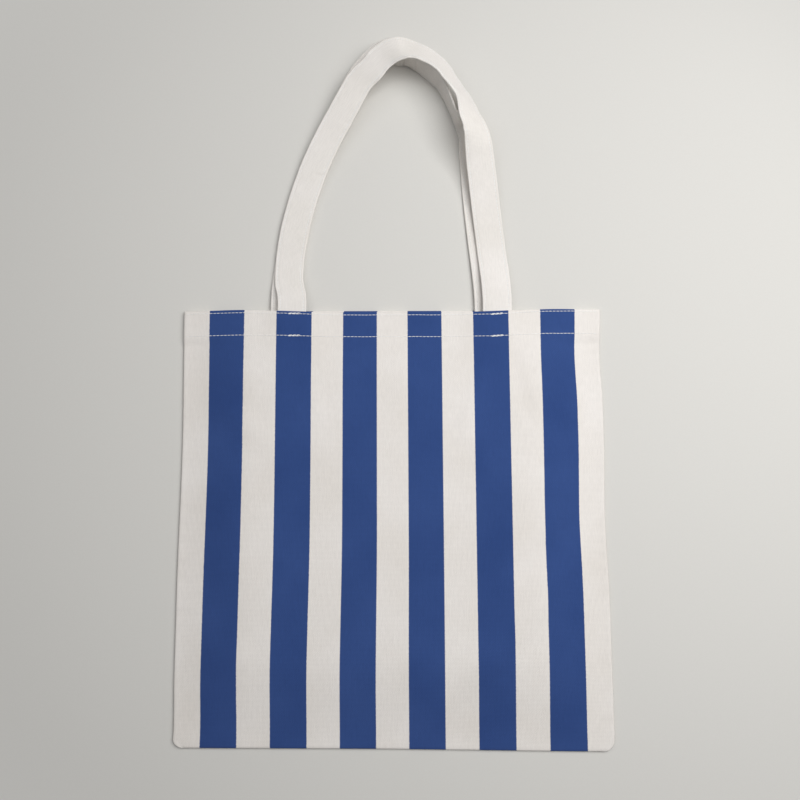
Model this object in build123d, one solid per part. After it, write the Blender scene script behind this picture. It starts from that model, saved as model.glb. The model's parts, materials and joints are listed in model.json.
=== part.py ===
from build123d import *

import math
import os
from typing import NamedTuple

# A flat canvas tote bag lying on its back, with both strap handles laid out beyond the mouth.
# X runs across the bag, Y from the bottom seam to the mouth and Z up from the face it lies on.
# The origin is the middle of that face. All sizes are in millimetres.

# Panels
bag_width = 360.0
bag_height = 365.0
canvas = 0.6  # one layer of cloth
corner_radius = 7.0  # at the two bottom corners
loft_height = 10.0  # clear height between the panels where the empty bag is fullest
side_rise = 50.0  # run over which the front panel climbs from each side seam
bottom_rise = 60.0  # run over which it climbs from the bottom seam

# Seams, turned to the inside
seam_allowance = 10.0
seam_row = 1.5  # from the outer edge to the line of seam stitching
overlock_bite = 4.0  # how far the overlock thread reaches over the cloth
overlock_overhang = 0.4  # how far it stands past the raw edge

# Hem at the mouth, turned twice to the inside
hem_depth = 25.0
upper_row = 3.0  # from the mouth edge to each row of hem stitching
lower_row = 23.0

# Thread, pressed flat into the cloth
thread_width = 0.6
thread_depth = 0.3
tack_length = 16.0  # back-tack on the outside of each handle end
tack_spacing = 1.0  # from a row to the back-tack beside it

# Handles, straps of folded canvas
strap_width = 25.0
strap_thickness = 1.8
strap_tuck = 24.0  # length of each end inside the hem
strap_edge_row = 2.5  # from the strap's edge to its stitching
strap_row_start = 6.0  # from the line where the strap bends to the first stitch
handle_spacing = 177.0  # between the middles of one handle's two legs
front_handle_shift = 3.2  # each handle is sewn a little off the middle
back_handle_shift = -3.4
handle_bend = 10.0  # from the mouth edge to the line where the strap bends
handle_reach = 228.0  # from that line to the top of the handle

# Clearances
moving_gap = 0.3  # between pieces that move apart
lying_gap = 0.7  # between a strap and the strap that it lies on, clear of the lower one's stitching
thread_seat = 0.02  # under a thread that lies on top of a strap

half_width = bag_width / 2
half_height = bag_height / 2
hem_thickness = 2 * canvas
allowance_thickness = 2 * canvas
seam_top = canvas + allowance_thickness
rim_under = seam_top + moving_gap  # underside of the front panel at its sewn edges
rim_top = rim_under + canvas
crown_under = canvas + loft_height  # underside of the front panel where it is highest
crown_top = crown_under + canvas
seam_inner = half_width - seam_allowance
bottom_inner = -half_height + seam_allowance
hem_foot = half_height - hem_depth

# The front hem starts where the climbing panel leaves room for it over the back hem.
hem_climb = canvas + 2 * hem_thickness + moving_gap - rim_under
hem_half = seam_inner - side_rise * hem_climb / (crown_under - rim_under)

# The front handle folds over its upper face and the back handle under its lower face.
front_strap_top = crown_under - hem_thickness
back_strap_under = canvas + hem_thickness
bend_y = half_height + handle_bend
front_strap_middle = front_strap_top - strap_thickness / 2
back_strap_middle = back_strap_under + strap_thickness / 2


class Station(NamedTuple):
    """A place on a strap's route: across in half spacings from the handle's middle, up in reaches from
    the bend, on how many straps it lies, its lower edge's further height in strap widths, and its lean in
    degrees, positive with the inner edge up."""

    across: float
    up: float
    stacked: float
    raised: float
    lean: float


# The back handle lies on the ground and stands on its inner edge round the right shoulder.
back_route = [
    Station(-0.992, 0.066, 0, 0.02, 0),
    Station(-0.971, 0.131, 0, 0, 0),
    Station(-0.931, 0.226, 0, 0, 0),
    Station(-0.862, 0.356, 0, 0, 0),
    Station(-0.769, 0.477, 0, 0, 0),
    Station(-0.673, 0.574, 0, 0, 0),
    Station(-0.566, 0.665, 0, 0, 0),
    Station(-0.472, 0.735, 0, 0, 0),
    Station(-0.378, 0.806, 0, 0, -2),
    Station(-0.268, 0.886, 0, 0, -6),
    Station(-0.167, 0.932, 0, 0, -14),
    Station(-0.038, 0.967, 0, 0, -32),
    Station(0.087, 0.975, 0, 0, -60),
    Station(0.148, 0.95, 0, 0, -84),
    Station(0.204, 0.945, 0, 0.01, -92),
    Station(0.27, 0.931, 0, 0.01, -92),
    Station(0.358, 0.911, 0, 0, -87),
    Station(0.47, 0.874, 0, 0, -84),
    Station(0.546, 0.842, 0, 0, -84),
    Station(0.614, 0.787, 0, 0, -86),
    Station(0.669, 0.73, 0, 0, -88),
    Station(0.718, 0.684, 0, 0, -83),
    Station(0.812, 0.668, 0, 0, -42),
    Station(0.864, 0.605, 0, 0, -14),
    Station(0.879, 0.536, 0, 0, 0),
    Station(0.895, 0.423, 0, 0, 0),
    Station(0.941, 0.231, 0, 0.02, 0),
]

# The front handle lies on the back one and leans against it like a tent round the right shoulder.
front_route = [
    Station(-1.033, 0.062, 1, 0.06, 0),
    Station(-1.035, 0.128, 1, 0, 0),
    Station(-1.008, 0.222, 1, 0, 0),
    Station(-0.936, 0.351, 1, 0.02, 0),
    Station(-0.84, 0.47, 1, 0.06, 0),
    Station(-0.742, 0.563, 1, 0.13, 0),
    Station(-0.632, 0.648, 1, 0.22, 0),
    Station(-0.535, 0.712, 1, 0.32, 0),
    Station(-0.439, 0.776, 1, 0.43, 1),
    Station(-0.317, 0.849, 1, 0.54, 3),
    Station(-0.209, 0.883, 1, 0.66, 4),
    Station(-0.095, 0.926, 1, 0.78, 5),
    Station(0.058, 0.947, 1, 0.89, 10),
    Station(0.127, 0.947, 1, 0.8, 19),
    Station(0.188, 0.946, 1, 0.7, 27),
    Station(0.299, 0.934, 0, 0.7, 34),
    Station(0.39, 0.916, 0, 0.61, 38),
    Station(0.475, 0.889, 0, 0.54, 44),
    Station(0.586, 0.827, 0, 0.5, 51),
    Station(0.699, 0.762, 0, 0.47, 51),
    Station(0.747, 0.693, 0, 0.66, 39),
    Station(0.81, 0.628, 0, 0.71, 27),
    Station(0.836, 0.58, 0, 0.66, 15),
    Station(0.856, 0.523, 1, 0.42, 5),
    Station(0.899, 0.387, 1, 0.17, 0),
    Station(0.953, 0.194, 1, 0.05, 0),
]


def block(x_span, y_span, z_span):
    """A box between two values on each axis."""
    spans = (x_span, y_span, z_span)
    middle = [(low + high) / 2 for low, high in spans]
    sides = [high - low for low, high in spans]
    return Pos(*middle) * Box(*sides)


def outline(z_low, z_high):
    """The flat bag's outline with its two rounded bottom corners, between two heights."""
    plate = block((-half_width, half_width), (-half_height, half_height), (z_low, z_high))
    corners = [edge for edge in plate.edges().filter_by(Axis.Z) if edge.center().Y < 0]
    return fillet(corners, corner_radius)


def crown(depth, overrun=0.0):
    """The space under a surface that lies at a depth below the front panel's outside.
    It climbs from both side seams and the bottom seam, and is open at the mouth."""
    low = rim_top - depth
    high = crown_top - depth
    mouth = half_height + overrun
    shoulder = seam_inner - side_rise
    cross = [(-seam_inner, low), (seam_inner, low), (shoulder, high), (-shoulder, high)]
    along = [(bottom_inner, low), (mouth, low), (mouth, high), (bottom_inner + bottom_rise, high)]
    across_bag = extrude(Plane.XZ * make_face(Polyline(cross, close=True)), bag_height, both=True)
    along_bag = extrude(Plane.YZ * make_face(Polyline(along, close=True)), bag_width, both=True)
    return across_bag & along_bag


def front_layer(top_depth, low_depth, y_span, x_span):
    """The part of the front wall between two depths, inside a rectangle seen from above."""
    room = block(x_span, y_span, (0, crown_top + canvas))
    return (crown(top_depth) - crown(low_depth, canvas)) & room


def along_row(row):
    """The width of a thread that runs across the bag, at a distance below the mouth edge."""
    middle = half_height - row
    return (middle - thread_width / 2, middle + thread_width / 2)


def handle_middles(shift):
    """The X of each leg of a handle."""
    return {"left": shift - handle_spacing / 2, "right": shift + handle_spacing / 2}


def strap_span(middle):
    return (middle - strap_width / 2, middle + strap_width / 2)


def strap_end(middle, z_low, z_high):
    """The sewn-in end of a strap, up to just before the line where the handle bends."""
    tip = bend_y - moving_gap
    return block(strap_span(middle), (half_height - strap_tuck, tip), (z_low, z_high))


def strap_planes(route, shift, bend_z):
    """Section planes along a handle, with x towards the inside of the loop and z along the strap."""
    places = [Vector(shift - handle_spacing / 2, bend_y, bend_z)]
    leans = [0.0]
    for stop in route:
        lean = math.radians(abs(stop.lean))
        height = stop.stacked * (strap_thickness + lying_gap) + stop.raised * strap_width
        height += strap_width / 2 * math.sin(lean) + strap_thickness / 2 * math.cos(lean)
        x = shift + stop.across * handle_spacing / 2
        places.append(Vector(x, bend_y + stop.up * handle_reach, height))
        leans.append(stop.lean)
    places.append(Vector(shift + handle_spacing / 2, bend_y, bend_z))
    leans.append(0.0)

    up = Vector(0, 0, 1)
    planes = []
    for index, place in enumerate(places):
        if index == 0:
            along = Vector(0, 1, 0)
        elif index == len(places) - 1:
            along = Vector(0, -1, 0)
        else:
            before = (place - places[index - 1]).normalized()
            after = (places[index + 1] - place).normalized()
            along = (before + after).normalized()
        inwards = along.cross(up).normalized()
        face = inwards.cross(along)
        lean = math.radians(leans[index])
        edge = inwards * math.cos(lean) + face * math.sin(lean)
        planes.append(Plane(origin=place, x_dir=edge, z_dir=along))
    return planes


def ribbon(planes, width, thickness, side=0.0, rise=0.0):
    """A strip of one width and thickness along section planes, set to the side and raised off them."""
    section = Pos(side, -rise) * Rectangle(width, thickness)
    lengths = zip(planes, planes[1:])
    return Part() + [loft([start * section, end * section], ruled=True) for start, end in lengths]


def strap_stitching(planes):
    """A row of thread along each edge of a strap's upper face, clear of the bends."""
    side = strap_width / 2 - strap_edge_row
    rise = strap_thickness / 2 + thread_seat + thread_depth / 2
    bends = block((-bag_width, bag_width), (0, bend_y + strap_row_start), (0, 2 * crown_top))
    rows = [ribbon(planes, thread_width, thread_depth, place, rise) - bends for place in (-side, side)]
    return Compound(children=rows)


def seam_parts(name):
    """The allowance, the seam stitching and the overlock thread of one closed side."""
    upper_edge = half_height if name != "bottom" else bottom_inner
    side = {
        "left": ((-half_width, -seam_inner), (bottom_inner, upper_edge)),
        "right": ((seam_inner, half_width), (bottom_inner, upper_edge)),
        "bottom": ((-half_width, half_width), (-half_height, bottom_inner)),
    }
    x_span, y_span = side[name]
    allowance = block(x_span, y_span, (canvas, seam_top)) & outline(canvas, seam_top)

    row = (seam_row - thread_width / 2, seam_row + thread_width / 2)
    bite = (seam_allowance - overlock_bite, seam_allowance + overlock_overhang)
    cloth = (seam_allowance - overlock_bite, seam_allowance)

    def strip(distances, z_span):
        """A strip at distances from the bag's edge. The bottom one ends at the side overlock threads."""
        near, far = distances
        if name == "left":
            return block((near - half_width, far - half_width), y_span, z_span)
        if name == "right":
            return block((half_width - far, half_width - near), y_span, z_span)
        inset = seam_inner - overlock_overhang
        return block((-inset, inset), (near - half_height, far - half_height), z_span)

    upper = strip(row, (seam_top - thread_depth, seam_top))
    lower = strip(row, (canvas, canvas + thread_depth))
    sleeve = strip(bite, (canvas, seam_top))
    sleeve -= strip(cloth, (canvas + thread_depth, seam_top - thread_depth))
    return allowance - upper - lower - sleeve, Compound(children=[upper, lower]), sleeve


def front_wall():
    """The front panel with its hem, hem stitching, handle ends and back-tacks, by node name."""
    nodes = {}
    hem_span = (-hem_half, hem_half)
    inside = canvas + hem_thickness
    panel = outline(rim_under, rim_top) + crown(0) - crown(canvas, canvas)
    hem = front_layer(canvas, inside, (hem_foot, half_height), hem_span)

    for name, row in (("upper", upper_row), ("lower", lower_row)):
        outer = front_layer(0, thread_depth, along_row(row), hem_span)
        inner = front_layer(inside - thread_depth, inside, along_row(row), hem_span)
        panel -= outer
        hem -= inner
        nodes[f"front_hem_{name}_stitching"] = Compound(children=[outer, inner])

    for name, middle in handle_middles(front_handle_shift).items():
        end = strap_end(middle, front_strap_top - strap_thickness, front_strap_top)
        tack_span = (middle - tack_length / 2, middle + tack_length / 2)
        threads = []
        for row in (upper_row, lower_row):
            low = front_strap_top - strap_thickness
            inner = block(strap_span(middle), along_row(row), (low, low + thread_depth))
            outer = front_layer(0, thread_depth, along_row(row - tack_spacing), tack_span)
            end -= inner
            panel -= outer
            threads += [inner, outer]
        nodes[f"front_handle_{name}_end"] = end
        nodes[f"front_handle_{name}_tack"] = Compound(children=threads)

    nodes["front_panel"] = panel
    nodes["front_hem"] = hem
    return nodes


def back_wall():
    """The back panel with its hem, hem stitching, handle ends and back-tacks, by node name."""
    nodes = {}
    hem_span = (-hem_half, hem_half)
    hem_top = canvas + hem_thickness
    panel = outline(0, canvas)
    hem = block(hem_span, (hem_foot, half_height), (canvas, hem_top))

    for name, row in (("upper", upper_row), ("lower", lower_row)):
        outer = block(hem_span, along_row(row), (0, thread_depth))
        inner = block(hem_span, along_row(row), (hem_top - thread_depth, hem_top))
        panel -= outer
        hem -= inner
        nodes[f"back_hem_{name}_stitching"] = Compound(children=[outer, inner])

    for name, middle in handle_middles(back_handle_shift).items():
        end = strap_end(middle, back_strap_under, back_strap_under + strap_thickness)
        tack_span = (middle - tack_length / 2, middle + tack_length / 2)
        threads = []
        for row in (upper_row, lower_row):
            high = back_strap_under + strap_thickness
            inner = block(strap_span(middle), along_row(row), (high - thread_depth, high))
            outer = block(tack_span, along_row(row - tack_spacing), (0, thread_depth))
            end -= inner
            panel -= outer
            threads += [inner, outer]
        nodes[f"back_handle_{name}_end"] = end
        nodes[f"back_handle_{name}_tack"] = Compound(children=threads)

    nodes["back_panel"] = panel
    nodes["back_hem"] = hem
    return nodes


def seams():
    """The three closed sides, by node name."""
    nodes = {}
    for name in ("left", "right", "bottom"):
        allowance, stitching, overlock = seam_parts(name)
        nodes[f"{name}_seam_allowance"] = allowance
        nodes[f"{name}_seam_stitching"] = stitching
        nodes[f"{name}_seam_overlock"] = overlock
    return nodes


def handles():
    """Both free handle loops with their edge stitching, by node name."""
    nodes = {}
    sewn = {
        "front": (front_route, front_handle_shift, front_strap_middle),
        "back": (back_route, back_handle_shift, back_strap_middle),
    }
    for name, (route, shift, bend_z) in sewn.items():
        planes = strap_planes(route, shift, bend_z)
        stops = [plane.origin for plane in planes]
        length = sum((after - before).length for before, after in zip(stops, stops[1:]))
        print(f"{name} handle: {length:.0f} mm of free strap")
        nodes[f"{name}_handle_strap"] = ribbon(planes, strap_width, strap_thickness)
        nodes[f"{name}_handle_edge_stitching"] = strap_stitching(planes)
    return nodes


os.makedirs("parts", exist_ok=True)
for node, shape in {**back_wall(), **front_wall(), **seams(), **handles()}.items():
    export_step(shape, f"parts/{node}.step")
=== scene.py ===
"""Striped canvas tote bag, lying on its back with its two strap handles laid out above the mouth."""

import json
import math

import bmesh
import bpy
from mathutils import Matrix, Vector, noise


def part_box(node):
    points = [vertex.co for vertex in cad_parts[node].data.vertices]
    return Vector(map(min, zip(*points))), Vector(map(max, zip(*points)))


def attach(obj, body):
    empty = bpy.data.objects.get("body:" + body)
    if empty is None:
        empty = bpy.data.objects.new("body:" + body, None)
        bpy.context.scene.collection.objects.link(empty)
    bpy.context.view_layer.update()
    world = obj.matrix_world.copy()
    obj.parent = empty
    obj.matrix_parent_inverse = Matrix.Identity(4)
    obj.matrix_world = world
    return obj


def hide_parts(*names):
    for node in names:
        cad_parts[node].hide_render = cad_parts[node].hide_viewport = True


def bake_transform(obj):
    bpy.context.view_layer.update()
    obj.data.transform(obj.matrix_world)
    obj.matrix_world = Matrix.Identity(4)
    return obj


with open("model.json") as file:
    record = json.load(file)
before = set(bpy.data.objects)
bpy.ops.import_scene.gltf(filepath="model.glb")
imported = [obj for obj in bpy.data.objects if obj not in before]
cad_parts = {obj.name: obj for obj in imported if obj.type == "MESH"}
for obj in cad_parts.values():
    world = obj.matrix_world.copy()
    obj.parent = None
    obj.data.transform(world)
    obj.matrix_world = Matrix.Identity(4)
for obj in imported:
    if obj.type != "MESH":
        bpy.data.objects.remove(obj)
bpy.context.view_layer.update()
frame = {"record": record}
bpy.ops.object.select_all(action="DESELECT")

MM = 0.001

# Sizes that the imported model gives.
panel_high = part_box("front_panel")[1]
hem_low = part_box("front_hem")[0]
left_end_low, left_end_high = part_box("front_handle_left_end")
half_width = panel_high.x
half_height = panel_high.y
crown = panel_high.z
hem_depth = half_height - hem_low.y
strap_width = left_end_high.x - left_end_low.x
strap_thickness = left_end_high.z - left_end_low.z
strap_foot = left_end_low.y
joints = {joint["name"]: joint for joint in frame["record"]["behaviour"]["joints"]}
bend_y = joints["front_handle_swing"]["pos_m"][1]


def end_middles(wall):
    """Where the two sewn-in ends of a wall's handle lie across the bag."""
    middles = []
    for side in ("left", "right"):
        low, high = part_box(f"{wall}_handle_{side}_end")
        middles.append((low.x + high.x) / 2)
    return middles


strap_middles = end_middles("front")
back_strap_middles = end_middles("back")

# The cloth and how it is sewn.
cloth = 0.6 * MM
sheet_thickness = 0.56 * MM
edge_fold = 0.6 * MM
raw_fold = 0.3 * MM
raw_turn = 8 * MM
upper_row = 2.4 * MM
lower_row = 22.2 * MM
stitch_pitch = 3.2 * MM
seam_row = 2 * MM
seam_allowance = 10 * MM

# Single stitches: length, width and height.
hem_stitch = (3.1 * MM, 0.55 * MM, 0.42 * MM)
tack_stitch = (3.0 * MM, 0.65 * MM, 0.5 * MM)
seam_stitch = (2.8 * MM, 0.6 * MM, 0.4 * MM)
overlock_stitch = (2.9 * MM, 0.55 * MM, 0.4 * MM)
strap_stitch = (2.7 * MM, 0.6 * MM, 0.36 * MM)

# Sewn edges: the level at which the walls meet, the cloth on each side of it, and the rim beside it.
# The hem adds to all three.
seam_height = 1.3 * MM
hem_seam_height = 0.8 * MM
edge_cloth = 0.6 * MM
hem_edge_cloth = 0.3 * MM
rim_height = 2.6 * MM
hem_rim_height = 1.5 * MM

# The cloth's turn over the sewn edges, the round bottom corners, the step up to the thicker hem,
# and how far in, and to what share, the side seams press the folded layers together.
seam_round = 2.6 * MM
corner_radius = 9 * MM
corner_reach = 16 * MM
hem_step_start = 5 * MM
hem_step_run = 6 * MM
press_run = 4 * MM
pressed_share = 0.35

# Gathers along the side and bottom seams: their waves, height and reach, and how unevenly they come.
side_gather = 2.3 * MM
bottom_gather = 2.5 * MM
gather_height = 0.22 * MM
gather_reach = 7 * MM
gather_shift_size = 30 * MM
gather_patch_size = 45 * MM

# How the empty bag lies: it climbs from its seams to a crown that is lower away from the mouth.
side_rise = 62 * MM
bottom_rise = 74 * MM
crown_margin = 0.3 * MM
crown_sink = 1.6 * MM

# The mouth sinks between the handles, whose sewn-in ends hold the cloth flat and show through it.
held_reach = 34 * MM
held_start = 120 * MM
held_run = 30 * MM
sink_depth = 1.8 * MM
sink_start = 110 * MM
sink_run = 70 * MM
strap_step = 0.4 * MM
strap_step_run = 4 * MM

# How the edges lie: the mouth and the foot run down to the right, and the front mouth edge sags.
mouth_drop = 0.6 * MM
mouth_slope = 2.1 * MM
mouth_reach = 90 * MM
sag_depth = 2.6 * MM
sag_middle = 5 * MM
sag_half = 150 * MM
sag_fade = 80 * MM
sag_reach = 80 * MM
foot_slope = 1.4 * MM
foot_slope_start = 40 * MM
foot_reach = 90 * MM

# The left half of the cloth was eased to the right as it was laid out, most of all higher up.
print_ease = 3.4 * MM
print_ease_middle = -72 * MM
print_ease_reach = 140 * MM
print_ease_rise = 150 * MM

# Where the side seams wander: how far inwards, at what height, and how far that reaches.
left_pulls = [
    (1.4 * MM, 62 * MM, 120 * MM),
    (-0.7 * MM, -165 * MM, 40 * MM),
]
right_pulls = [
    (1.5 * MM, 2 * MM, 70 * MM),
    (-1.4 * MM, 140 * MM, 45 * MM),
]

# Slow unevenness of the front: height, size, and the slice of noise it is cut from.
slack_waves = [
    (0.75 * MM, 105 * MM, 1.3),
    (0.35 * MM, 48 * MM, 2.6),
]

# Soft folds of the front: where each starts and ends, its reach and its height.
soft_folds = [
    ((178 * MM, -6 * MM), (48 * MM, -150 * MM), 17 * MM, 1.7 * MM),
    ((178 * MM, 24 * MM), (92 * MM, -56 * MM), 14 * MM, -1.2 * MM),
    ((-172 * MM, 118 * MM), (-96 * MM, 58 * MM), 18 * MM, 0.7 * MM),
    ((86 * MM, 158 * MM), (58 * MM, 60 * MM), 11 * MM, 0.6 * MM),
    ((98 * MM, 158 * MM), (122 * MM, 70 * MM), 11 * MM, -0.55 * MM),
    ((-84 * MM, 156 * MM), (-60 * MM, 74 * MM), 12 * MM, 0.5 * MM),
    ((-168 * MM, -148 * MM), (-116 * MM, -96 * MM), 16 * MM, 0.6 * MM),
]

# The printed stripes: six blue ones, the white between them a little narrower.
stripe_period = 57.3 * MM
blue_width = 30 * MM


def ease(t):
    """Goes from 0 to 1 with level ends."""
    t = min(max(t, 0.0), 1.0)
    return t * t * (3.0 - 2.0 * t)


def hump(t, middle, reach):
    """1 at the middle, falling to 0 at a reach on either side."""
    return ease(1.0 - abs(t - middle) / reach)


def drift(x, y, size, seed):
    """Slow unevenness of cloth smoothed out by hand, about -1 to 1; a seed picks its slice of noise."""
    return noise.noise(Vector((x / size, y / size, seed)))


def fold_line(x, y, start, end, reach, height):
    """A soft fold that runs from start to end and dies away at both."""
    run = Vector(end) - Vector(start)
    along = (Vector((x, y)) - Vector(start)).dot(run) / run.length_squared
    off = (Vector((x, y)) - Vector(start) - run * along).length
    return height * hump(off, 0, reach) * ease(along * 4) * ease((1 - along) * 4)


# The two walls of the bag.
def side_pull(across, y):
    """How far the side seam lies inside a straight line."""
    pulls = left_pulls if across < 0 else right_pulls
    return sum(depth * hump(y, middle, reach) for depth, middle, reach in pulls)


def corner_cut(y):
    """How far a rounded bottom corner stands in from the side."""
    rise = min(max(y + half_height, 0.0), corner_radius)
    return corner_radius - math.sqrt(corner_radius**2 - (corner_radius - rise) ** 2)


def outline_x(across, y):
    """Takes a place across the cloth to where it lies, with wandering sides and round corners.

    The sides' wander is felt from about the middle of each half outwards, the print's ease up to
    the last eighth, so that it leaves the side seams alone."""
    reach = abs(across) / half_width
    pulled = side_pull(across, y) * ease(reach * 2.2 - 1.2)
    cut = corner_cut(y) * ease((abs(across) - half_width + corner_reach) / corner_reach)
    higher = 0.4 + 0.6 * ease((y + print_ease_rise) / print_ease_rise)
    eased = print_ease * hump(across, print_ease_middle, print_ease_reach) * higher
    return across - math.copysign(pulled + cut, across) + eased * (1 - ease(reach * 8 - 7))


def seam_distance(across, y):
    """How far a point is from the nearest sewn edge."""
    return min(half_width - abs(across), y + half_height)


def hem_zone(y):
    """1 in the thick hem, 0 in the single cloth."""
    return ease((y - half_height + hem_depth + hem_step_start) / hem_step_run)


def seam_level(y):
    """Height at which the two walls meet along the sewn edges."""
    return seam_height + hem_seam_height * hem_zone(y)


def edge_layer(y):
    """How much cloth each wall has at the sewn edges."""
    return edge_cloth + hem_edge_cloth * hem_zone(y)


def rounding(distance):
    """The turn of the cloth over the sewn edge, 0 at the edge and 1 past it."""
    gone = 1.0 - min(max(distance / seam_round, 0.0), 1.0)
    return math.sqrt(1.0 - gone * gone)


def pucker(across, y):
    """Small gathers that the seam thread pulls into the cloth beside it."""
    side = half_width - abs(across)
    foot = y + half_height
    side_wave = math.sin(y / side_gather + 4 * drift(across, y, gather_shift_size, 3.1))
    bottom_wave = math.sin(across / bottom_gather + 4 * drift(across, y, gather_shift_size, 5.7))
    waves = side_wave * math.exp(-side / gather_reach) + bottom_wave * math.exp(-foot / gather_reach)
    uneven = 0.6 + 0.8 * drift(across, y, gather_patch_size, 8.3)
    return gather_height * uneven * waves * rounding(seam_distance(across, y))


def strap_relief(across, y):
    """1 over a strap end, which shows through the hem as a low step, and 0 beside it."""
    margin = strap_step_run / 2
    best = 0.0
    for middle in strap_middles:
        near = ease((strap_width / 2 + margin - abs(across - middle)) / strap_step_run)
        best = max(best, near * ease((y - strap_foot + margin) / strap_step_run))
    return best


def front_top(across, y):
    """Height of the front panel's outer face."""
    side = half_width - abs(across)
    foot = y + half_height
    rim = rim_height + hem_rim_height * hem_zone(y)
    edge = seam_level(y) + edge_layer(y)
    low = edge + (rim - edge) * rounding(seam_distance(across, y))
    climb = ease(side / side_rise) * ease(foot / bottom_rise)
    full = crown - crown_margin - crown_sink * ease(0.9 - y / half_height)
    height = low + (full - rim) * climb
    slack = sum(rise * drift(across, y, size, seed) for rise, size, seed in slack_waves)
    for start, end, reach, rise in soft_folds:
        slack += fold_line(across, y, start, end, reach, rise)
    near_handles = max(hump(across, middle, held_reach) for middle in strap_middles)
    slack -= sink_depth * (1 - near_handles) * ease((y - sink_start) / sink_run)
    height += slack * climb * (1 - 0.9 * near_handles * ease((y - held_start) / held_run))
    return height + pucker(across, y) + strap_step * strap_relief(across, y)


def hem_path(up):
    """Follows the cloth up the wall, over the mouth edge, down the hem and under its raw edge.

    Gives the height on the bag and how deep the middle of the cloth lies under the outer face."""
    turn = half_height - edge_fold
    if up <= turn:
        return up, cloth / 2
    left = up - turn
    if left <= math.pi * edge_fold:
        angle = left / edge_fold
        return turn + edge_fold * math.sin(angle), cloth / 2 + edge_fold * (1 - math.cos(angle))
    left -= math.pi * edge_fold
    inside = cloth / 2 + 2 * edge_fold
    foot = half_height - hem_depth + raw_fold
    if left <= turn - foot:
        return turn - left, inside
    left -= turn - foot
    if left <= math.pi * raw_fold:
        angle = left / raw_fold
        return foot - raw_fold * math.sin(angle), inside - raw_fold * (1 - math.cos(angle))
    left -= math.pi * raw_fold
    return foot + left, inside - 2 * raw_fold


def mouth_level(across, y):
    """The mouth edge of both walls lies a little lower on the right."""
    drop = mouth_drop + mouth_slope * ease((across + half_width) / (2 * half_width))
    return -drop * ease((y - half_height + mouth_reach) / mouth_reach)


def mouth_sag(across, y):
    """The front mouth edge sags a little more, all the way between the handles."""
    sag = sag_depth * ease((sag_half - abs(across - sag_middle)) / sag_fade)
    return -sag * ease((y - half_height + sag_reach) / sag_reach)


def foot_level(across, y):
    """The bottom edge of both walls lies a little lower on the right."""
    drop = foot_slope * ease((across + foot_slope_start) / (half_width + foot_slope_start))
    return -drop * ease((foot_reach - y - half_height) / foot_reach)


def layer_share(across):
    """The folded layers are pressed together where the side seams catch them."""
    return pressed_share + (1 - pressed_share) * ease((half_width - abs(across)) / press_run)


def front_point(across, y, depth):
    """A point of the front wall, so deep under its outer face."""
    return Vector((
        outline_x(across, y),
        y + mouth_level(across, y) + mouth_sag(across, y) + foot_level(across, y),
        front_top(across, y) - depth * layer_share(across),
    ))


def back_point(across, y, depth):
    """A point of the back wall, so high above its outer face, which lies on the floor."""
    edge = seam_level(y) - edge_layer(y)
    base = edge * (1 - rounding(seam_distance(across, y)))
    return Vector((
        outline_x(across, y),
        y + mouth_level(across, y) + foot_level(across, y),
        base + depth * layer_share(across),
    ))


# Helpers that model.
def select_only(piece):
    """Selects one piece and makes it the active one."""
    bpy.ops.object.select_all(action="DESELECT")
    piece.select_set(True)
    bpy.context.view_layer.objects.active = piece


def apply_all(piece):
    """Applies the piece's modifiers in order."""
    select_only(piece)
    for modifier in list(piece.modifiers):
        bpy.ops.object.modifier_apply(modifier=modifier.name)


def close_spaced(low, high, step, fine_low, fine_high):
    """Places from low to high about a step apart, with the given closer ones at the ends."""
    start = low + (fine_low[-1] if fine_low else 0.0)
    stop = high - (fine_high[-1] if fine_high else 0.0)
    count = 2 * math.ceil((stop - start) / step / 2)
    middle = [start + (stop - start) * i / count for i in range(count + 1)]
    first = [low + d for d in fine_low[:-1]]
    last = [high - d for d in reversed(fine_high[:-1])]
    return first + middle + last


def cloth_sheet(name, lines, rows, shape, faces_down, outer, inner, thickness):
    """A flat sheet whose points are laid in shape, with its threads' places kept as UV in metres."""
    bpy.ops.mesh.primitive_grid_add(
        x_subdivisions=len(lines) - 1, y_subdivisions=len(rows) - 1, size=2
    )
    piece = bpy.context.object
    piece.name = name
    mesh = piece.data
    threads = mesh.uv_layers.active
    threads.name = "threads"
    places = []
    for vertex in mesh.vertices:
        across = lines[round((vertex.co.x + 1) / 2 * (len(lines) - 1))]
        up = rows[round((vertex.co.y + 1) / 2 * (len(rows) - 1))]
        places.append((across, up))
    for loop in mesh.loops:
        threads.data[loop.index].uv = places[loop.vertex_index]
    for vertex, (across, up) in zip(mesh.vertices, places):
        vertex.co = shape(across, up)
    select_only(piece)
    if faces_down:
        bpy.ops.object.mode_set(mode="EDIT")
        bpy.ops.mesh.select_all(action="SELECT")
        bpy.ops.mesh.flip_normals()
        bpy.ops.object.mode_set(mode="OBJECT")
    mesh.materials.append(outer)
    mesh.materials.append(inner)
    body = piece.modifiers.new("thickness", "SOLIDIFY")
    body.thickness = thickness
    body.offset = 0
    body.material_offset = 1
    apply_all(piece)
    bpy.ops.object.shade_smooth()
    return piece


def one_stitch(length, width, height):
    """A thread that dives into the cloth at both ends, lying along X."""
    bpy.ops.mesh.primitive_uv_sphere_add(segments=6, ring_count=6, radius=0.5)
    stitch = bpy.context.object
    stitch.data.uv_layers.active.name = "threads"
    bpy.ops.object.mode_set(mode="EDIT")
    bpy.ops.mesh.select_all(action="SELECT")
    bpy.ops.transform.rotate(value=math.pi / 2, orient_axis="Y", center_override=(0, 0, 0))
    bpy.ops.transform.resize(value=(length, width, height), center_override=(0, 0, 0))
    bpy.ops.object.mode_set(mode="OBJECT")
    return stitch


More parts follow.
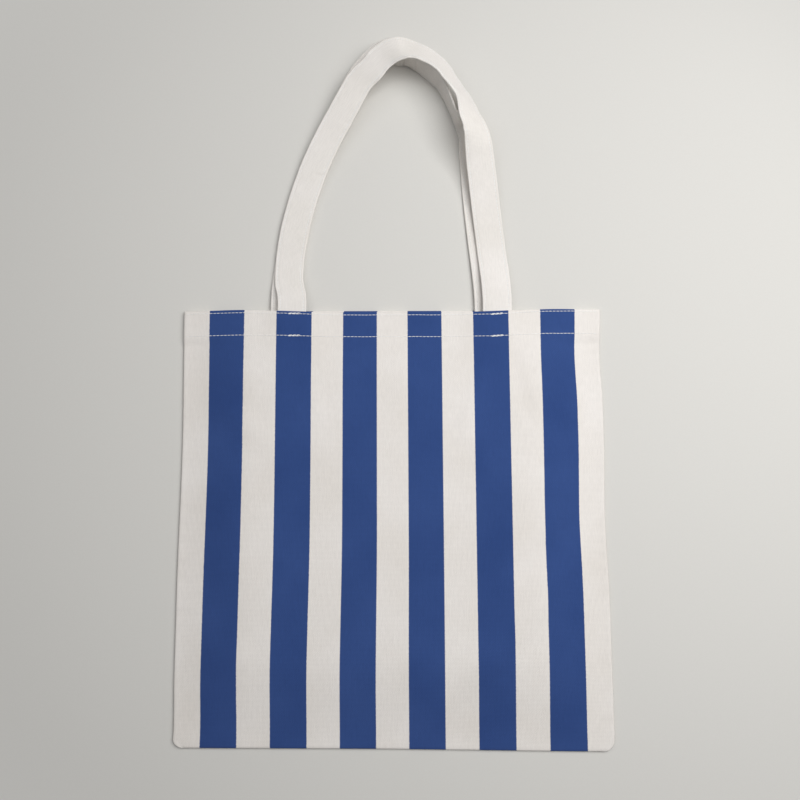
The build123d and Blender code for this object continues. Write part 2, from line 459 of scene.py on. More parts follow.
def sew(name, places, size):
    """Copies one stitch to every place, a point with the thread's way and the cloth's way up."""
    stitch = one_stitch(*size)
    row = bmesh.new()
    for point, way, up in places:
        along = way.normalized()
        beside = up.cross(along).normalized()
        turn = Matrix((along, beside, along.cross(beside))).transposed().to_4x4()
        copy = stitch.data.copy()
        copy.transform(Matrix.Translation(point) @ turn)
        row.from_mesh(copy)
        bpy.data.meshes.remove(copy)
    mesh = bpy.data.meshes.new(name)
    row.to_mesh(mesh)
    row.free()
    bpy.data.objects.remove(stitch)
    piece = bpy.data.objects.new(name, mesh)
    bpy.context.collection.objects.link(piece)
    mesh.materials.append(sewing_thread)
    select_only(piece)
    bpy.ops.object.shade_smooth()
    return piece


# Materials. Sizes of the canvas's slubs, fuzz and clouds, of its relief, and of the print's edge.
slub_width = 1.111 * MM
slub_length = 7.692 * MM
fuzz_size = 0.7143 * MM
cloud_size = 62.5 * MM
yarn_relief = 0.16 * MM
print_ragged = 1.1 * MM
print_blur = 0.25 * MM

# Sizes of the thread's uneven patches and of the ridges between its plies.
thread_patch = 3.846 * MM
ply_relief = 0.08 * MM

# At a scale of 1, the bands of a wave come this far apart.
band_spacing = math.pi / 10


def linear(hex_colour):
    """Turns an sRGB hex colour to the linear values that shaders use."""
    channels = [int(hex_colour[i:i + 2], 16) / 255 for i in (1, 3, 5)]
    return [c / 12.92 if c <= 0.04045 else ((c + 0.055) / 1.055) ** 2.4 for c in channels] + [1.0]


def add(tree, kind, inputs=None, **settings):
    """Adds a node with its settings; an input is a value or the socket that feeds it."""
    node = tree.nodes.new(kind)
    for key, value in settings.items():
        setattr(node, key, value)
    for key, value in (inputs or {}).items():
        if isinstance(value, bpy.types.NodeSocket):
            tree.links.new(value, node.inputs[key])
        else:
            node.inputs[key].default_value = value
    return node


def new_material(name):
    """A material with an empty node tree, and that tree."""
    material = bpy.data.materials.new(name)
    material.use_nodes = True
    material.node_tree.nodes.clear()
    return material, material.node_tree


def canvas(name, white, shade, blue, blue_share, spacing, relief):
    """Plain-woven cotton canvas.

    Yarns cross over and under, which gives the eye a fine even grain with no gloss, slubs where
    a yarn is thicker, and a slight cloudiness. Printed stripes have edges as ragged as a yarn.
    spacing is from yarn to yarn, and blue_share is how much of the print shows on this face."""
    material, tree = new_material(name)
    threads = add(tree, "ShaderNodeUVMap", uv_map="threads").outputs["UV"]
    grain = add(tree, "ShaderNodeVectorMath", {0: threads, 3: 1 / spacing}, operation="SCALE").outputs[0]
    over = add(tree, "ShaderNodeTexChecker", {"Vector": grain, "Scale": 1.0}).outputs["Fac"]
    warp, weft = [
        add(
            tree, "ShaderNodeTexWave", {"Vector": grain, "Scale": band_spacing},
            wave_type="BANDS", bands_direction=direction,
        ).outputs["Fac"]
        for direction in "XY"
    ]
    weave = add(tree, "ShaderNodeMix", {0: over, 2: warp, 3: weft}, data_type="FLOAT").outputs[0]
    slub_stretch = add(
        tree, "ShaderNodeMapping", {"Vector": threads, "Scale": (1 / slub_width, 1 / slub_length, 1)}
    ).outputs[0]
    slubs = add(
        tree, "ShaderNodeTexNoise", {"Vector": slub_stretch, "Scale": 1.0, "Detail": 2.0}
    ).outputs["Fac"]
    fuzz = add(
        tree, "ShaderNodeTexNoise", {"Vector": threads, "Scale": 1 / fuzz_size, "Detail": 3.0}
    ).outputs["Fac"]
    clouds = add(
        tree, "ShaderNodeTexNoise", {"Vector": threads, "Scale": 1 / cloud_size, "Detail": 4.0}
    ).outputs["Fac"]
    cloudy = add(
        tree, "ShaderNodeMapRange",
        {"Value": clouds, "From Min": 0.3, "From Max": 0.7, "To Min": 0.0, "To Max": 1.0},
    ).outputs[0]
    ground = add(
        tree, "ShaderNodeMix", {0: cloudy, 6: linear(white), 7: linear(shade)}, data_type="RGBA"
    ).outputs[2]
    colour = ground
    if blue_share > 0:
        wander = add(
            tree, "ShaderNodeMath", {0: fuzz, 1: print_ragged, 2: -print_ragged / 2},
            operation="MULTIPLY_ADD",
        ).outputs[0]
        across = add(tree, "ShaderNodeSeparateXYZ", {0: threads}).outputs["X"]
        shaken = add(tree, "ShaderNodeMath", {0: across, 1: wander}, operation="ADD").outputs[0]
        centred = add(
            tree, "ShaderNodeMath", {0: shaken, 1: stripe_period / 2}, operation="SUBTRACT"
        ).outputs[0]
        off = add(
            tree, "ShaderNodeMath", {0: centred, 1: stripe_period / 2}, operation="PINGPONG"
        ).outputs[0]
        printed = add(
            tree, "ShaderNodeMapRange",
            {
                "Value": off,
                "From Min": blue_width / 2 - print_blur,
                "From Max": blue_width / 2 + print_blur,
                "To Min": blue_share,
                "To Max": 0.0,
            },
        ).outputs[0]
        ink = add(
            tree, "ShaderNodeMix", {0: cloudy, 6: linear(blue[0]), 7: linear(blue[1])}, data_type="RGBA"
        ).outputs[2]
        colour = add(
            tree, "ShaderNodeMix", {0: printed, 6: ground, 7: ink}, data_type="RGBA"
        ).outputs[2]
    # Painted shade and highlight: the colour is darkened in the weave's hollows and lightened on its
    # crowns, and slubs shift its tone a little.
    painted_weave_shade = add(
        tree, "ShaderNodeMapRange",
        {"Value": weave, "From Min": 0.0, "From Max": 1.0, "To Min": 0.9, "To Max": 1.06},
    ).outputs[0]
    slubby = add(
        tree, "ShaderNodeMapRange",
        {"Value": slubs, "From Min": 0.3, "From Max": 0.7, "To Min": 0.97, "To Max": 1.025},
    ).outputs[0]
    depth = add(tree, "ShaderNodeMath", {0: painted_weave_shade, 1: slubby}, operation="MULTIPLY").outputs[0]
    yarn = add(
        tree, "ShaderNodeMix", {0: 1.0, 6: colour, 7: depth}, data_type="RGBA", blend_type="MULTIPLY"
    ).outputs[2]
    fibre = add(
        tree, "ShaderNodeMath", {0: slubs, 1: 0.5, 2: weave}, operation="MULTIPLY_ADD"
    ).outputs[0]
    height = add(
        tree, "ShaderNodeMath", {0: fuzz, 1: 0.35, 2: fibre}, operation="MULTIPLY_ADD"
    ).outputs[0]
    bump = add(
        tree, "ShaderNodeBump", {"Height": height, "Strength": relief, "Distance": yarn_relief}
    ).outputs[0]
    rough = add(
        tree, "ShaderNodeMapRange",
        {"Value": fuzz, "From Min": 0.3, "From Max": 0.7, "To Min": 0.82, "To Max": 0.96},
    ).outputs[0]
    shader = add(
        tree, "ShaderNodeBsdfPrincipled",
        {
            "Base Color": yarn,
            "Roughness": rough,
            "Normal": bump,
            "IOR": 1.5,
            "Specular IOR Level": 0.25,
            "Sheen Weight": 0.08,
            "Sheen Roughness": 0.5,
        },
    )
    add(tree, "ShaderNodeOutputMaterial", {"Surface": shader.outputs[0]})
    return material


def thread_material():
    """Matt spun cotton thread: two plies twisted together, so each stitch has slanting ridges."""
    material, tree = new_material("white_cotton_thread")
    along = add(tree, "ShaderNodeUVMap", uv_map="threads").outputs["UV"]
    slant = add(
        tree, "ShaderNodeMapping", {"Vector": along, "Scale": (2.0, 5.0, 1.0), "Rotation": (0, 0, 0.5)}
    ).outputs[0]
    twist = add(
        tree, "ShaderNodeTexWave", {"Vector": slant, "Scale": 0.5, "Distortion": 0.6},
        wave_type="BANDS", bands_direction="Y",
    ).outputs["Fac"]
    place = add(tree, "ShaderNodeTexCoord").outputs["Object"]
    uneven = add(
        tree, "ShaderNodeTexNoise", {"Vector": place, "Scale": 1 / thread_patch, "Detail": 2.0}
    ).outputs["Fac"]
    # Painted shade and highlight: the colour is lighter on the plies' ridges and darker in the grooves
    # between them, over uneven patches of tone.
    ply_shade_and_patches = add(
        tree, "ShaderNodeMath", {0: uneven, 1: 0.4, 2: twist}, operation="MULTIPLY_ADD"
    ).outputs[0]
    tone = add(
        tree, "ShaderNodeMapRange",
        {"Value": ply_shade_and_patches, "From Min": 0.1, "From Max": 1.1, "To Min": 0.0, "To Max": 1.0},
    ).outputs[0]
    colour = add(
        tree, "ShaderNodeMix", {0: tone, 6: linear("#E9E8E6"), 7: linear("#FBFAF8")}, data_type="RGBA"
    ).outputs[2]
    bump = add(
        tree, "ShaderNodeBump", {"Height": twist, "Strength": 0.5, "Distance": ply_relief}
    ).outputs[0]
    shader = add(
        tree, "ShaderNodeBsdfPrincipled",
        {
            "Base Color": colour,
            "Roughness": 0.78,
            "Normal": bump,
            "IOR": 1.5,
            "Specular IOR Level": 0.3,
            "Sheen Weight": 0.1,
        },
    )
    add(tree, "ShaderNodeOutputMaterial", {"Surface": shader.outputs[0]})
    return material


# Real canvas of this weight has a yarn about every 0.7 mm; it is drawn at 1 mm so that it shows.
printed_canvas = canvas(
    "printed_cotton_canvas", white="#F1ECE7", shade="#E9E3DC",
    blue=("#344F89", "#2C4780"), blue_share=1.0, spacing=1.0 * MM, relief=0.5,
)
unprinted_side = canvas(
    "cotton_canvas_reverse", white="#EFEAE3", shade="#E5DFD6",
    blue=("#7F93BC", "#7C90B8"), blue_share=0.16, spacing=1.0 * MM, relief=0.5,
)
strap_canvas = canvas(
    "plain_strap_canvas", white="#F3EEE9", shade="#EAE5DE",
    blue=None, blue_share=0.0, spacing=1.05 * MM, relief=0.55,
)
sewing_thread = thread_material()

# The two walls of the bag: each one sheet, with its hem turned to the inside and its raw edge under.
grid_step = 2.8 * MM
near_seam = [0.0, 0.3 * MM, 0.8 * MM, 1.6 * MM, 2.6 * MM, 4.2 * MM, 6.5 * MM]
near_mouth = [0.0, 1.2 * MM, 3 * MM]
mouth_turn = half_height - edge_fold
hem_run = mouth_turn - (half_height - hem_depth + raw_fold)
lines = close_spaced(-half_width, half_width, grid_step, near_seam, near_seam)
rows = close_spaced(-half_height, mouth_turn, grid_step, near_seam, near_mouth)
# Past that the rows go on over the mouth fold, down the hem, round the raw fold and up the raw edge.
for run, count in ((math.pi * edge_fold, 6), (hem_run, 9), (math.pi * raw_fold, 4), (raw_turn, 3)):
    rows += [rows[-1] + run * i / count for i in range(1, count + 1)]


def front_shape(across, up):
    """Where a place on the flat front cloth lies, hem and all."""
    y, depth = hem_path(up)
    return front_point(across, y, depth)


def back_shape(across, up):
    """Where a place on the flat back cloth lies, hem and all."""
    y, depth = hem_path(up)
    return back_point(across, y, depth)


front_cloth = cloth_sheet(
    "front_cloth", lines, rows, front_shape, False, printed_canvas, unprinted_side, sheet_thickness
)
back_cloth = cloth_sheet(
    "back_cloth", lines, rows, back_shape, True, printed_canvas, unprinted_side, sheet_thickness
)

# Halves of a front piece are joined where points of its middle band are this close.
join_band = 0.05 * MM
join_gap = 0.001 * MM


def opens_with_mouth(piece):
    """Splits a front piece into its left and right half and joins them again.

    Each half's transform is baked first, and the points of its middle band are merged."""
    select_only(piece)
    for polygon in piece.data.polygons:
        polygon.select = polygon.center.x < 0
    bpy.ops.object.mode_set(mode="EDIT")
    bpy.ops.mesh.separate(type="SELECTED")
    bpy.ops.object.mode_set(mode="OBJECT")
    left = next(o for o in bpy.context.selected_objects if o != piece)
    for half, side in ((piece, 1), (left, -1)):
        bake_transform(half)
    select_only(piece)
    left.select_set(True)
    bpy.ops.object.join()
    bpy.ops.object.mode_set(mode="EDIT")
    bpy.ops.mesh.select_all(action="DESELECT")
    bpy.ops.object.mode_set(mode="OBJECT")
    for vertex in piece.data.vertices:
        vertex.select = abs(vertex.co.x) < join_band
    bpy.ops.object.mode_set(mode="EDIT")
    bpy.ops.mesh.remove_doubles(threshold=join_gap)
    bpy.ops.object.mode_set(mode="OBJECT")


opens_with_mouth(front_cloth)
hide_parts("front_panel", "front_hem")
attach(back_cloth, "bag_back")
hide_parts("back_panel", "back_hem")

# Each wall's body, its points, where its handle ends lie, and which way its outer and inner faces look.
walls = {
    "front": ("bag_front", front_point, strap_middles, (1, -1)),
    "back": ("bag_back", back_point, back_strap_middles, (-1, 1)),
}

# Hem rows waver, rise a little left of the middle, and lie higher towards the right.
row_waver = 0.35 * MM
row_waver_size = 26 * MM
left_stray = 0.5 * MM
left_stray_middle = -88 * MM
left_stray_reach = 34 * MM
right_stray = 0.7 * MM
right_stray_start = 105 * MM
right_stray_run = 35 * MM

# How deep under the outer face the middles of the stitches lie, outside and on the hem inside.
hem_inside = cloth / 2 + 2 * edge_fold + cloth / 2
hem_faces = (-0.08 * MM, hem_inside + 0.04 * MM)
tack_faces = (-0.16 * MM, hem_inside + 0.1 * MM)


def row_wander(across):
    """How far a hand-guided seam strays up from its line."""
    stray = row_waver * drift(across, 0.0, row_waver_size, 6.2)
    stray += left_stray * hump(across, left_stray_middle, left_stray_reach)
    return stray + right_stray * ease((across - right_stray_start) / right_stray_run)


def mouth_stitch(point_on, across, y, climb, face, up):
    """The place of one stitch along the mouth, which rises by climb over its length."""
    here = point_on(across - stitch_pitch / 2, y, face)
    there = point_on(across + stitch_pitch / 2, y + climb, face)
    return (here + there) / 2, there - here, Vector((0, 0, up))


# Hem stitching: a row of single stitches on the outer face and its bobbin side on the hem.
def hem_stitches(point_on, row, ups):
    """Places along one row, on the outer face and on the hem inside."""
    places = []
    count = round(2 * (half_width - seam_row) / stitch_pitch)
    for face, up in zip(hem_faces, ups):
        for i in range(count):
            across = -half_width + seam_row + stitch_pitch * (i + 0.5)
            y = half_height - row + row_wander(across)
            places.append(mouth_stitch(point_on, across, y, 0.0, face, up))
    return places


for wall, (_, point_on, _, ups) in walls.items():
    for label, row in (("upper", upper_row), ("lower", lower_row)):
        thread = sew(f"{wall}_hem_{label}_row", hem_stitches(point_on, row, ups), hem_stitch)
        if wall == "front":
            opens_with_mouth(thread)
        else:
            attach(thread, "bag_back")
        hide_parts(f"{wall}_hem_{label}_stitching")

# Back-tacks: the machine runs forth and back over each strap end on both rows. The two lines of a
# tack lie below and above the row, slip against each other and slant upwards.
tack_lines = (-0.4 * MM, 0.45 * MM)
tack_slip = 0.3
tack_slant = 0.12 * MM
tack_climb = 0.1 * MM


def tack_stitches(point_on, middle, ups):
    """Places of the stitches over one strap end, on the outer face and on the hem inside."""
    places = []
    for row in (upper_row, lower_row):
        for line, shift in enumerate(tack_lines):
            for face, up in zip(tack_faces, ups):
                for i in range(-1, 2):
                    across = middle + (i + tack_slip * line - tack_slip) * stitch_pitch
                    y = half_height - row + row_wander(across) + shift + tack_slant * i
                    places.append(mouth_stitch(point_on, across, y, tack_climb, face, up))
    return places


for wall, (body, point_on, middles, ups) in walls.items():
    for side, middle in zip(("left", "right"), middles):
        tack = sew(
            f"{wall}_handle_{side}_back_tack", tack_stitches(point_on, middle, ups), tack_stitch
        )
        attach(tack, body)
        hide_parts(f"{wall}_handle_{side}_tack")

# Seam allowances: the turned-in raw edges inside, held by a seam row and an overlocked edge.
strip_thickness = 0.9 * MM
strip_level = 1.22 * MM
strip_wave = 0.12 * MM
strip_wave_size = 14 * MM
strip_step = 6 * MM
strip_rows = [0.8 * MM, 2 * MM, 4 * MM, 6 * MM, 8 * MM, seam_allowance]
strip_low = -half_height + seam_allowance + 1 * MM
strip_high = half_height - hem_depth - 1 * MM
bottom_reach = half_width - 3 * MM

# Their rows: how far apart the stitches come, how far they lie from a strip's middle, and how far
# a loop of the overlock leans along the edge, reaches in from it and stands past it.
seam_pitch = 3 * MM
overlock_pitch = 2.2 * MM
strip_face = 0.45 * MM
loop_lean = 0.5 * MM
loop_in = 1.8 * MM
loop_past = 0.3 * MM


def strip_height(along, inward, seed):
    """Height of a strip's middle, which waves a little."""
    return strip_level + strip_wave * drift(along, inward, strip_wave_size, seed)


def side_strip(side):
    """Gives the function that lays a side strip, which takes how far along and how far in."""
    def place(along, inward):
        across = side * (half_width - inward)
        return Vector((outline_x(across, along), along, strip_height(along, inward, 4.4)))
    return place


def bottom_strip(along, inward):
    """Lays the bottom strip in the same way."""
    y = -half_height + inward
    return Vector((outline_x(along, y), y + foot_level(along, y), strip_height(along, inward, 7.9)))


def both_faces(here, there):
    """Places of a stitch from here to there, on the upper and on the under face of a strip."""
    middle = (here + there) / 2
    return [(middle + Vector((0, 0, strip_face * up)), there - here, Vector((0, 0, up))) for up in (1, -1)]


def seam_stitches(place, low, high):
    """Places along a strip, one stitch after the other."""
    places = []
    for i in range(int((high - low) / seam_pitch)):
        along = low + seam_pitch * (i + 0.5)
        here = place(along - seam_pitch / 2, seam_row)
        there = place(along + seam_pitch / 2, seam_row)
        places += both_faces(here, there)
    return places


def overlock_stitches(place, low, high):
    """Places of the loops over a strip's raw edge."""
    places = []
    for i in range(int((high - low) / overlock_pitch)):
        along = low + overlock_pitch * (i + 0.5)
        here = place(along - loop_lean, seam_allowance - loop_in)
        there = place(along + loop_lean, seam_allowance + loop_past)
        places += both_faces(here, there)
    return places


# How each strip is laid, from where to where, and whether its sheet is turned over.
strips = {
    "left": (side_strip(-1), strip_low, strip_high, True),
    "right": (side_strip(1), strip_low, strip_high, False),
    "bottom": (bottom_strip, -bottom_reach, bottom_reach, False),
}
for side, (place, low, high, flipped) in strips.items():
    along = close_spaced(low, high, strip_step, [], [])
    strip = cloth_sheet(
        f"{side}_seam_strip", along, strip_rows, place, flipped,
        unprinted_side, unprinted_side, strip_thickness,
    )
    seam = sew(f"{side}_seam_row", seam_stitches(place, low, high), seam_stitch)
    overlock = sew(f"{side}_seam_edge_loops", overlock_stitches(place, low, high), overlock_stitch)
    for piece, node in ((strip, "allowance"), (seam, "stitching"), (overlock, "overlock")):
        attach(piece, "bag_back")
        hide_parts(f"{side}_seam_{node}")

# The handles. Each station is where the strap's middle lies: across and up as shares of the
# handle's spacing and reach, layers of strap under it, extra lift as a share of the strap's
# width, and how far its inner edge is tipped up, in degrees. Straps that lie on each other have
# lying_gap between them, and a sewn-in end is flat up to hem_hold below the mouth edge.
handle_half = (strap_middles[1] - strap_middles[0]) / 2
handle_reach = 228 * MM
lying_gap = 0.7 * MM
hem_hold = 8 * MM
back_route = [
    (-0.992, 0.066, 0, 0.02, 0), (-0.971, 0.131, 0, 0, 0), (-0.931, 0.226, 0, 0, 0),
    (-0.862, 0.356, 0, 0, 0), (-0.769, 0.477, 0, 0, 0), (-0.673, 0.574, 0, 0, 0),
    (-0.566, 0.665, 0, 0, 0), (-0.472, 0.735, 0, 0, 0), (-0.378, 0.806, 0, 0, -2),
    (-0.268, 0.886, 0, 0, -6), (-0.167, 0.932, 0, 0, -14), (-0.038, 0.967, 0, 0, -32),
    (0.087, 0.975, 0, 0, -60), (0.148, 0.95, 0, 0, -84), (0.204, 0.945, 0, 0.01, -92),
    (0.27, 0.931, 0, 0.01, -92), (0.358, 0.911, 0, 0, -87), (0.47, 0.874, 0, 0, -84),
    (0.546, 0.842, 0, 0, -84), (0.614, 0.787, 0, 0, -86), (0.669, 0.73, 0, 0, -88),
    (0.718, 0.684, 0, 0, -83), (0.812, 0.668, 0, 0, -42), (0.864, 0.605, 0, 0, -14),
    (0.879, 0.536, 0, 0, 0), (0.895, 0.423, 0, 0, 0), (0.941, 0.231, 0, 0.02, 0),
]
front_route = [
    (-1.033, 0.062, 1, 0.06, 0), (-1.035, 0.128, 1, 0, 0), (-1.008, 0.222, 1, 0, 0),
    (-0.936, 0.351, 1, 0.02, 0), (-0.84, 0.47, 1, 0.06, 0), (-0.742, 0.563, 1, 0.13, 0),
    (-0.632, 0.648, 1, 0.22, 0), (-0.535, 0.712, 1, 0.32, 0), (-0.439, 0.776, 1, 0.43, 1),
    (-0.317, 0.849, 1, 0.54, 3), (-0.209, 0.883, 1, 0.66, 4), (-0.095, 0.926, 1, 0.78, 5),
    (0.058, 0.947, 1, 0.89, 10), (0.127, 0.947, 1, 0.8, 19), (0.188, 0.946, 1, 0.7, 27),
    (0.299, 0.934, 0, 0.7, 34), (0.39, 0.916, 0, 0.61, 38), (0.475, 0.889, 0, 0.54, 44),
    (0.586, 0.827, 0, 0.5, 51), (0.699, 0.762, 0, 0.47, 51), (0.747, 0.693, 0, 0.66, 39),
    (0.81, 0.628, 0, 0.71, 27), (0.836, 0.58, 0, 0.66, 15), (0.856, 0.523, 1, 0.42, 5),
    (0.899, 0.387, 1, 0.17, 0), (0.953, 0.194, 1, 0.05, 0),
]

# The strap's surface: rows of stitching that pull it in, slow swells, a sway of its edges, and
# ripples beside the rows.
strap_row = 2.5 * MM
row_pull = 0.16 * MM
row_pull_reach = 1.6 * MM
strap_pitch = 3 * MM
strap_row_start = 8 * MM
strap_thread_lift = 0.05 * MM
swell_height = 0.28 * MM
swell_size = 34 * MM
sway_width = 0.25 * MM
sway_size = 40 * MM
ripple_height = 0.14 * MM
ripple_length = 2.1 * MM
ripple_shift_size = 20 * MM
ripple_reach = 5 * MM

# Small creases that run in from the inner edge: how far along the strap, how wide, how deep.
strap_creases = [
    (124 * MM, 2.6 * MM, 0.55 * MM),
    (149 * MM, 2.2 * MM, 0.6 * MM),
    (153 * MM, 2.0 * MM, -0.35 * MM),
    (203 * MM, 3.2 * MM, 0.35 * MM),
    (391 * MM, 3.0 * MM, 0.4 * MM),
]
crease_slant = 0.18
crease_end = -1 * MM
crease_run = 10 * MM

# Places across half of a strap that is 25 mm wide, closer together towards its folded edge.
section_width = 25
section_places = [0, 2.6, 5.2, 7.4, 8.6, 9.3, 10.0, 10.7, 11.3, 11.7, 12.05, 12.3, 12.45, 12.5]


def sewn_end(across, height):
    """Stations of a sewn-in end, from its foot to the line where the strap bends at the mouth."""
    return [(Vector((across, y, height)), 0.0) for y in (strap_foot, half_height - hem_hold, bend_y)]


def strap_stations(route, shift, end_height):
    """Middle points and leans of a whole strap, from its left sewn end to its right one."""
    points = sewn_end(shift - handle_half, end_height)
    for across, up, stacked, raised, lean in route:
        tip = math.radians(lean)
        height = stacked * (strap_thickness + lying_gap) + raised * strap_width
        height += strap_width / 2 * math.sin(abs(tip)) + strap_thickness / 2 * math.cos(tip)
        middle = Vector((shift + across * handle_half, bend_y + up * handle_reach, height))
        points.append((middle, tip))
    return points + sewn_end(shift + handle_half, end_height)[::-1]


def smooth_line(points):
    """Points along a smooth curve that is drawn through the given ones."""
    curve = bpy.data.curves.new("strap_edge_line", "CURVE")
    curve.dimensions = "3D"
    curve.resolution_u = 12
    spline = curve.splines.new("BEZIER")
    spline.bezier_points.add(len(points) - 1)
    for knot, point in zip(spline.bezier_points, points):
        knot.co = point
        knot.handle_left_type = "AUTO"
        knot.handle_right_type = "AUTO"
    drawn = bpy.data.objects.new("strap_edge_line", curve)
    bpy.context.collection.objects.link(drawn)
    bpy.context.view_layer.update()
    line = bpy.data.meshes.new_from_object(drawn)
    found = [vertex.co.copy() for vertex in line.vertices]
    bpy.data.objects.remove(drawn)
    bpy.data.curves.remove(curve)
    bpy.data.meshes.remove(line)
    return found


def strap_rings(stations):
    """Middle, way across to the inner edge, way up and length so far, all along a strap."""
    inner_edge = []
    outer_edge = []
    for i, (point, lean) in enumerate(stations):
        before = stations[max(i - 1, 0)][0]
        after = stations[min(i + 1, len(stations) - 1)][0]
        way = after - before
        inward = Vector((way.y, -way.x, 0)).normalized()
        across = inward * math.cos(lean) + Vector((0, 0, math.sin(lean)))
        inner_edge.append(point + across * strap_width / 2)
        outer_edge.append(point - across * strap_width / 2)
    pairs = list(zip(smooth_line(inner_edge), smooth_line(outer_edge)))
    rings = []
    length = 0.0
    for i, (inner, outer) in enumerate(pairs):
        middle = (inner + outer) / 2
        before = sum(pairs[max(i - 1, 0)], Vector()) / 2
        after = sum(pairs[min(i + 1, len(pairs) - 1)], Vector()) / 2
        along = (after - before).normalized()
        across = (inner - outer).normalized()
        up = along.cross(across).normalized()
        if up.z < 0:
            up = -up
        if rings:
            length += (middle - rings[-1][0]).length
        rings.append((middle, across, up, length))
    return rings


def strap_half_thickness(across):
    """Half the strap's thickness: rounded folded edges, pulled in at the stitch rows, soft between."""
    off = abs(across)
    radius = strap_thickness / 2
    past = max(off - (strap_width / 2 - radius), 0.0) / radius
    rounded = radius * math.sqrt(max(1.0 - past * past, 0.0))
    row = strap_width / 2 - strap_row
    return rounded - row_pull * hump(off, row, row_pull_reach)


def strap_wave(across, length, seed, creases):
    """Unevenness of a pressed strap: slow waves, ripples along its sewn edges and a few creases."""
    slow = swell_height * drift(length, across, swell_size, seed)
    beside = hump(abs(across), strap_width / 2, ripple_reach)
    shift = 3 * drift(length, across, ripple_shift_size, seed + 3)
    ripple = ripple_height * math.sin(length / ripple_length + shift)
    for middle, reach, depth in creases:
        slant = middle + crease_slant * across
        slow -= depth * hump(length, slant, reach) * ease((across - crease_end) / crease_run)
    return slow + ripple * beside


def strap_point(ring, x, side, lift, seed, creases):
    """A point so far above a strap's upper face or below its under face, but never under the floor."""
    middle, across, up, length = ring
    sway = sway_width * drift(length, 0.0, sway_size, seed + 7)
    rise = strap_wave(x, length, seed, creases) + side * (strap_half_thickness(x) + lift)
    point = middle + across * (x + sway) + up * rise
    return Vector((point.x, point.y, max(point.z, 0.0)))


def strap_piece(name, rings, seed, creases):
    """The strap as one closed band of folded canvas."""
    halves = [x / section_width * strap_width for x in section_places]
    top = [-x for x in reversed(halves)] + halves[1:]
    section = [(x, 1) for x in top] + [(x, -1) for x in reversed(top[1:-1])]
    points = []
    places = []
    for ring in rings:
        for x, side in section:
            points.append(strap_point(ring, x, side, 0.0, seed, creases))
            places.append((x, ring[3]))
    size = len(section)
    faces = []
    for first in range(0, len(points) - size, size):
        for i in range(size):
            a = first + i
            b = first + (i + 1) % size
            faces.append((a, b, b + size, a + size))
    faces.append(tuple(reversed(range(size))))
    faces.append(tuple(range(len(points) - size, len(points))))
    mesh = bpy.data.meshes.new(name)
    mesh.from_pydata(points, [], faces)
    threads = mesh.uv_layers.new(name="threads")
    for loop in mesh.loops:
        threads.data[loop.index].uv = places[loop.vertex_index]
    piece = bpy.data.objects.new(name, mesh)
    bpy.context.collection.objects.link(piece)
    mesh.materials.append(strap_canvas)
    select_only(piece)
    bpy.ops.object.mode_set(mode="EDIT")
    bpy.ops.mesh.select_all(action="SELECT")
    bpy.ops.mesh.normals_make_consistent(inside=False)
    bpy.ops.object.mode_set(mode="OBJECT")
    bpy.ops.object.shade_smooth()
    return piece


def ring_between(rings, length):
    """The ring so far along a strap, between two that it has, and the way along there."""
    now = next(i for i in range(1, len(rings)) if rings[i][3] >= length)
    last_middle, last_across, last_up, last_length = rings[now - 1]
    middle, across, up, this_length = rings[now]
    share = (length - last_length) / (this_length - last_length)
    ring = (
        last_middle.lerp(middle, share),
        last_across.lerp(across, share).normalized(),
        last_up.lerp(up, share).normalized(),
        length,
    )
    return ring, middle - last_middle


def strap_stitches(rings, seed, creases):
    """Stitch places along both edges of a strap, on its upper and its under face."""
    places = []
    count = math.ceil((rings[-1][3] - 2 * strap_row_start) / strap_pitch)
    row = strap_width / 2 - strap_row
    for x in (-row, row):
        for side in (1, -1):
            for i in range(count):
                ring, way = ring_between(rings, strap_row_start + strap_pitch * i)
                point = strap_point(ring, x, side, strap_thread_lift, seed, creases)
                places.append((point, way, ring[2] * side))
    return places


# Each wall's strap and its edge rows, laid along its route in place of the model's strap and sewn ends.
for wall, route, seed, creases in (
    ("back", back_route, 11.0, []),
    ("front", front_route, 23.0, strap_creases),
):
    low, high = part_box(f"{wall}_handle_left_end")
    shift = joints[f"{wall}_handle_swing"]["pos_m"][0]
    rings = strap_rings(strap_stations(route, shift, (low.z + high.z) / 2))
    strap = strap_piece(f"{wall}_strap", rings, seed, creases)
    edging = sew(f"{wall}_strap_edge_rows", strap_stitches(rings, seed, creases), strap_stitch)
    for piece in (strap, edging):
        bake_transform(piece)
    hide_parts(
        f"{wall}_handle_strap", f"{wall}_handle_left_end", f"{wall}_handle_right_end"
    )
    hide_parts(f"{wall}_handle_edge_stitching")

# The floor lies just under the bag, and fades into the backdrop between two distances from the
# middle of the bag and its handles.
floor_drop = 0.4 * MM
paper_tooth = 1.111 * MM
fade_middle = (0, 0.12, 0)
fade_start = 0.38
fade_end = 0.8


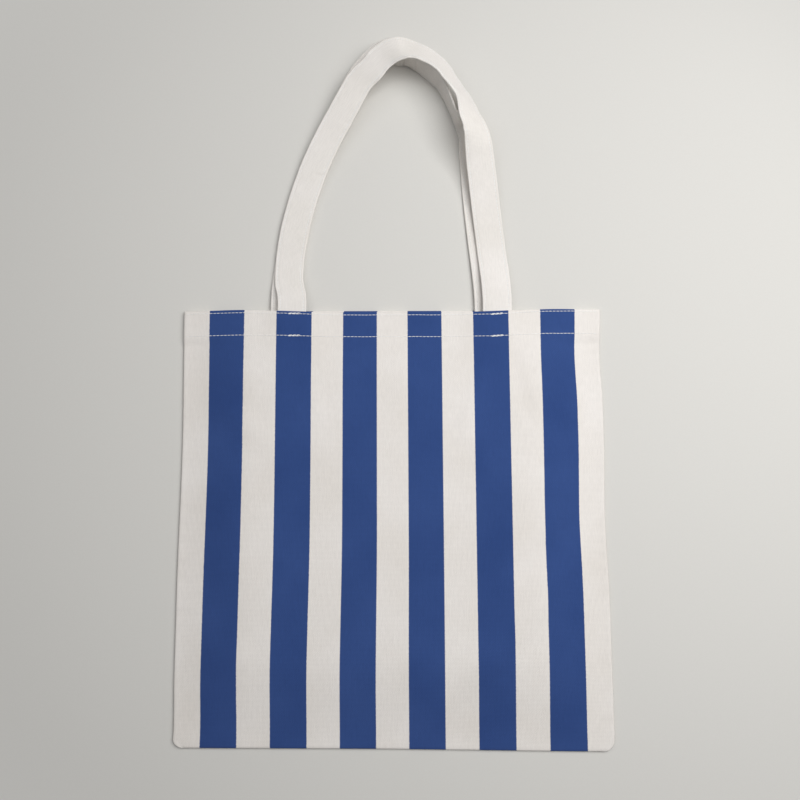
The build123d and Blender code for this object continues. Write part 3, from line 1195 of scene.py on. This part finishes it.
def paper_material():
    """Matt paper with a fine tooth, which gives the eye an even tone; it is clear from below."""
    material, tree = new_material("matt_paper")
    place = add(tree, "ShaderNodeTexCoord").outputs["Object"]
    tooth = add(
        tree, "ShaderNodeTexNoise", {"Vector": place, "Scale": 1 / paper_tooth, "Detail": 2.0}
    ).outputs["Fac"]
    tint = add(
        tree, "ShaderNodeMix", {0: tooth, 6: linear("#D6D4CF"), 7: linear("#DAD8D3")}, data_type="RGBA"
    ).outputs[2]
    matt = add(
        tree, "ShaderNodeBsdfPrincipled", {"Base Color": tint, "Roughness": 0.9, "Specular IOR Level": 0.1}
    )
    clear = add(tree, "ShaderNodeBsdfTransparent")
    under = add(tree, "ShaderNodeNewGeometry").outputs["Backfacing"]
    off = add(tree, "ShaderNodeVectorMath", {0: place, 1: fade_middle}, operation="SUBTRACT").outputs[0]
    away = add(tree, "ShaderNodeVectorMath", {0: off}, operation="LENGTH").outputs["Value"]
    faded = add(
        tree, "ShaderNodeMapRange",
        {"Value": away, "From Min": fade_start, "From Max": fade_end, "To Min": 0.0, "To Max": 1.0},
        interpolation_type="SMOOTHSTEP",
    ).outputs[0]
    unseen = add(tree, "ShaderNodeMath", {0: under, 1: faded}, operation="MAXIMUM").outputs[0]
    one_way = add(tree, "ShaderNodeMixShader", {0: unseen, 1: matt.outputs[0], 2: clear.outputs[0]})
    add(tree, "ShaderNodeOutputMaterial", {"Surface": one_way.outputs[0]})
    return material


bpy.ops.mesh.primitive_plane_add(size=6, location=(0, 0, -floor_drop))
floor = bpy.context.object
floor.name = "floor"
bpy.ops.object.transform_apply(location=True)
floor.data.materials.append(paper_material())
floor.visible_shadow = False

# The world gives a little light from all round, and the camera sees a plain backdrop in its place.
world = bpy.data.worlds.new("studio")
bpy.context.scene.world = world
world.use_nodes = True
air = world.node_tree
air.nodes.clear()
sky = add(air, "ShaderNodeBackground", {"Color": linear("#F4F6FA"), "Strength": 0.15})
backdrop = add(air, "ShaderNodeBackground", {"Color": linear("#CFCECB"), "Strength": 1.0})
seen = add(air, "ShaderNodeLightPath").outputs["Is Camera Ray"]
around = add(air, "ShaderNodeMixShader", {0: seen, 1: sky.outputs[0], 2: backdrop.outputs[0]})
add(air, "ShaderNodeOutputWorld", {"Surface": around.outputs[0]})


def softbox(name, location, target, size, power):
    """A large soft lamp aimed at a point."""
    lamp = bpy.data.lights.new(name, "AREA")
    lamp.size = size
    lamp.energy = power
    stand = bpy.data.objects.new(name, lamp)
    bpy.context.collection.objects.link(stand)
    stand.location = location
    stand.rotation_euler = (Vector(target) - Vector(location)).to_track_quat("-Z", "Y").to_euler()
    return stand


softbox("key_softbox", location=(0.5, 0.3, 0.9), target=(0.05, 0.05, 0), size=0.8, power=9.8)
softbox("fill_softbox", location=(-0.45, 0.5, 1.2), target=(0, 0.05, 0), size=1.2, power=3.8)

# A narrow lamp under the floor shines straight up at the back of the bag, for views from below.
under_lamp = softbox("under_softbox", location=(0, 0, -0.3), target=(0, 0, 0), size=0.34, power=0.2)
under_lamp.data.spread = math.radians(12)
under_lamp.visible_camera = False

# The camera's place, and its turn in degrees, were solved from the four corners of the bag.
camera_place = (26.7 * MM, 18.3 * MM, 681.6 * MM)
camera_turn = (7.09, 1.62, -0.26)
camera = bpy.data.objects.new("camera", bpy.data.cameras.new("camera"))
bpy.context.collection.objects.link(camera)
camera.data.lens = 36
camera.data.sensor_width = 36
camera.location = camera_place
camera.rotation_euler = [math.radians(angle) for angle in camera_turn]
camera.data.clip_start = 0.01
bpy.context.scene.camera = camera
bpy.context.scene.view_settings.view_transform = "Standard"
